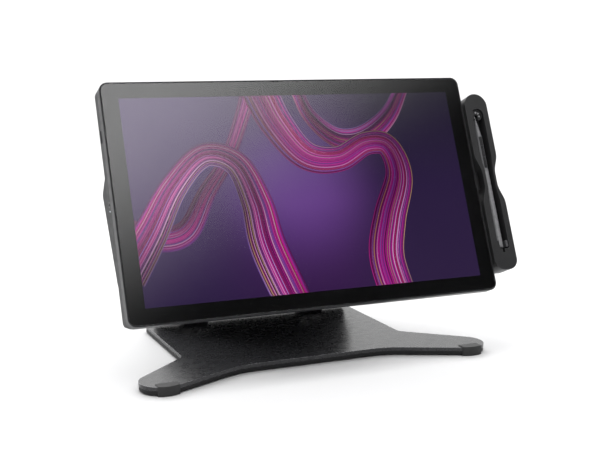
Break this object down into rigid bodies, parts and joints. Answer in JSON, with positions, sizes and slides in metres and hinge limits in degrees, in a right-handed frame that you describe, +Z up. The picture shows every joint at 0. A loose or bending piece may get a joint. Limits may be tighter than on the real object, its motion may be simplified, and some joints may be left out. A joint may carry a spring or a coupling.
{
  "type": "pen drawing tablet",
  "caption": "Slim pen display on a folding splayed-leg metal stand, with rear grips and a waisted pen tray on its right side.",
  "frame": {"origin": "on the desk, at the middle of the rear rubber foot, under the lower hinge", "axes": "+X to the right of the person who draws, +Y away from them, +Z up"},
  "size_m": [0.4529, 0.2485, 0.3003],
  "materials": {
    "stand_metal": "satin dark gunmetal with bright edges",
    "stand_arm_metal": "satin black paint",
    "base_underlay": "matte",
    "foot_rubber": "matte",
    "screw_steel": "black oxide",
    "shaft_steel": "ground",
    "washer_plastic": "matte",
    "bush_bronze": "sintered",
    "head_metal": "satin",
    "dark_plastic": "matte",
    "rear_plastic": "fine grain",
    "rim_metal": "dark anodised with a bright chamfer",
    "cover_glass": "gloss",
    "panel": "lit",
    "board": "solder mask",
    "spreader_aluminium": "mill",
    "port_metal": "plated",
    "grip_plastic": "fine grain",
    "jack_plastic": "gloss",
    "lamp": "clear",
    "key_plastic": "satin",
    "tray_plastic": "fine grain",
    "tray_rubber": "matte",
    "clip_plastic": "satin",
    "nib_plastic": "satin",
    "pen_plastic": "satin grey",
    "pen_soft": "soft grey",
    "pen_inner": "solder mask",
    "pen_key": "satin"
  },
  "bodies": {
    "base": {"base_plate": "stand_metal", "base_underlay": "base_underlay", "foot_cap_left": "foot_rubber", "foot_cap_right": "foot_rubber", "rear_foot": "foot_rubber", "hinge_block_left": "stand_arm_metal", "hinge_block_right": "stand_arm_metal", "block_screws": "screw_steel", "lower_shaft": "shaft_steel", "hinge_washers": "washer_plastic"},
    "arm": {"arm_plate": "stand_arm_metal", "arm_bushes": "bush_bronze", "upper_shaft": "shaft_steel", "shaft_caps": "dark_plastic"},
    "head": {"head_bracket": "head_metal"},
    "display": {"turn_washer": "washer_plastic", "turn_spindle": "shaft_steel", "turn_retainer": "shaft_steel", "mount_plate": "head_metal", "mount_screws": "screw_steel", "rear_cover": "rear_plastic", "mid_frame": "rim_metal", "cover_glass": "cover_glass", "lcd_panel": "panel", "digitizer_board": "board", "heat_spreader": "spreader_aluminium", "main_board": "board", "driver_board": "board", "port_shells": "port_metal", "fan_housing": "dark_plastic", "grip_left": "grip_plastic", "grip_right": "grip_plastic", "audio_jack": "jack_plastic", "status_lamp": "lamp", "case_screws": "screw_steel"},
    "fan": {"fan_rotor": "dark_plastic"},
    "power": {"power_button": "key_plastic"},
    "tray": {"tray_body": "tray_plastic", "tray_liner": "tray_rubber", "tray_bracket": "dark_plastic", "nib_holder": "dark_plastic", "spare_nibs": "nib_plastic", "tray_clip": "clip_plastic"},
    "pen": {"pen_barrel": "pen_plastic", "pen_cone": "pen_soft", "pen_core": "pen_inner", "pen_tail": "pen_plastic"},
    "pen_front_switch": {"pen_button_front": "pen_key"},
    "pen_middle_switch": {"pen_button_middle": "pen_key"},
    "pen_rear_switch": {"pen_button_rear": "pen_key"},
    "pen_point": {"pen_nib": "nib_plastic"},
    "key_left_1": {"key_left_1": "key_plastic"},
    "key_left_2": {"key_left_2": "key_plastic"},
    "key_left_3": {"key_left_3": "key_plastic"},
    "key_left_4": {"key_left_4": "key_plastic"},
    "key_right_1": {"key_right_1": "key_plastic"},
    "key_right_2": {"key_right_2": "key_plastic"},
    "key_right_3": {"key_right_3": "key_plastic"},
    "key_right_4": {"key_right_4": "key_plastic"}
  },
  "joints": [
    {"name": "arm_fold", "type": "hinge", "parent": "base", "child": "arm", "pos_m": [0, 0, 0.02], "axis": [1, 0, 0], "range_deg": [-4, 42.5]},
    {"name": "head_tilt", "type": "hinge", "parent": "arm", "child": "head", "pos_m": [0, -0.1293, 0.16348], "axis": [1, 0, 0], "range_deg": [-104.5, 10]},
    {"name": "screen_turn", "type": "hinge", "parent": "head", "child": "display", "pos_m": [0, -0.1293, 0.16348], "axis": [0, -0.9232, 0.3843], "range_deg": [-15, 15]},
    {"name": "key_left_1_press", "type": "slide", "parent": "display", "child": "key_left_1", "axis": [0, -0.8376, 0.5463], "range_m": [0, 0.001], "stiffness_N_per_m": 200, "springref_m": -0.0006},
    {"name": "key_left_2_press", "type": "slide", "parent": "display", "child": "key_left_2", "axis": [0, -0.8376, 0.5463], "range_m": [0, 0.001], "stiffness_N_per_m": 200, "springref_m": -0.0006},
    {"name": "key_left_3_press", "type": "slide", "parent": "display", "child": "key_left_3", "axis": [0, -0.8376, 0.5463], "range_m": [0, 0.001], "stiffness_N_per_m": 200, "springref_m": -0.0006},
    {"name": "key_left_4_press", "type": "slide", "parent": "display", "child": "key_left_4", "axis": [0, -0.8376, 0.5463], "range_m": [0, 0.001], "stiffness_N_per_m": 200, "springref_m": -0.0006},
    {"name": "key_right_1_press", "type": "slide", "parent": "display", "child": "key_right_1", "axis": [0, -0.8376, 0.5463], "range_m": [0, 0.001], "stiffness_N_per_m": 200, "springref_m": -0.0006},
    {"name": "key_right_2_press", "type": "slide", "parent": "display", "child": "key_right_2", "axis": [0, -0.8376, 0.5463], "range_m": [0, 0.001], "stiffness_N_per_m": 200, "springref_m": -0.0006},
    {"name": "key_right_3_press", "type": "slide", "parent": "display", "child": "key_right_3", "axis": [0, -0.8376, 0.5463], "range_m": [0, 0.001], "stiffness_N_per_m": 200, "springref_m": -0.0006},
    {"name": "key_right_4_press", "type": "slide", "parent": "display", "child": "key_right_4", "axis": [0, -0.8376, 0.5463], "range_m": [0, 0.001], "stiffness_N_per_m": 200, "springref_m": -0.0006},
    {"name": "power_press", "type": "slide", "parent": "display", "child": "power", "axis": [1, 0, 0], "range_m": [0, 0.0006], "stiffness_N_per_m": 150, "springref_m": -0.0006},
    {"name": "fan_spin", "type": "hinge", "parent": "display", "child": "fan", "pos_m": [-0.115, -0.13202, 0.23501], "axis": [0, 0.9232, -0.3843], "continuous": true},
    {"name": "tray_pull", "type": "slide", "parent": "display", "child": "tray", "axis": [1, 0, 0], "range_m": [0, 0.03]},
    {"name": "pen_lift", "type": "slide", "parent": "tray", "child": "pen", "axis": [0, -0.9232, 0.3843], "range_m": [0, 0.06]},
    {"name": "pen_front_press", "type": "slide", "parent": "pen", "child": "pen_front_switch", "axis": [0, 0.9232, -0.3843], "range_m": [0, 0.0003], "stiffness_N_per_m": 20, "springref_m": -0.0004},
    {"name": "pen_middle_press", "type": "slide", "parent": "pen", "child": "pen_middle_switch", "axis": [0, 0.9232, -0.3843], "range_m": [0, 0.0003], "stiffness_N_per_m": 20, "springref_m": -0.0004},
    {"name": "pen_rear_press", "type": "slide", "parent": "pen", "child": "pen_rear_switch", "axis": [0, 0.9232, -0.3843], "range_m": [0, 0.0003], "stiffness_N_per_m": 20, "springref_m": -0.0004},
    {"name": "nib_press", "type": "slide", "parent": "pen", "child": "pen_point", "axis": [0, -0.3843, -0.9232], "range_m": [0, 0.0003], "stiffness_N_per_m": 40, "springref_m": -0.0004}
  ],
  "couplings": [
    {"joint": "head_tilt", "follows": "arm_fold", "ratio": -2.45}
  ]
}
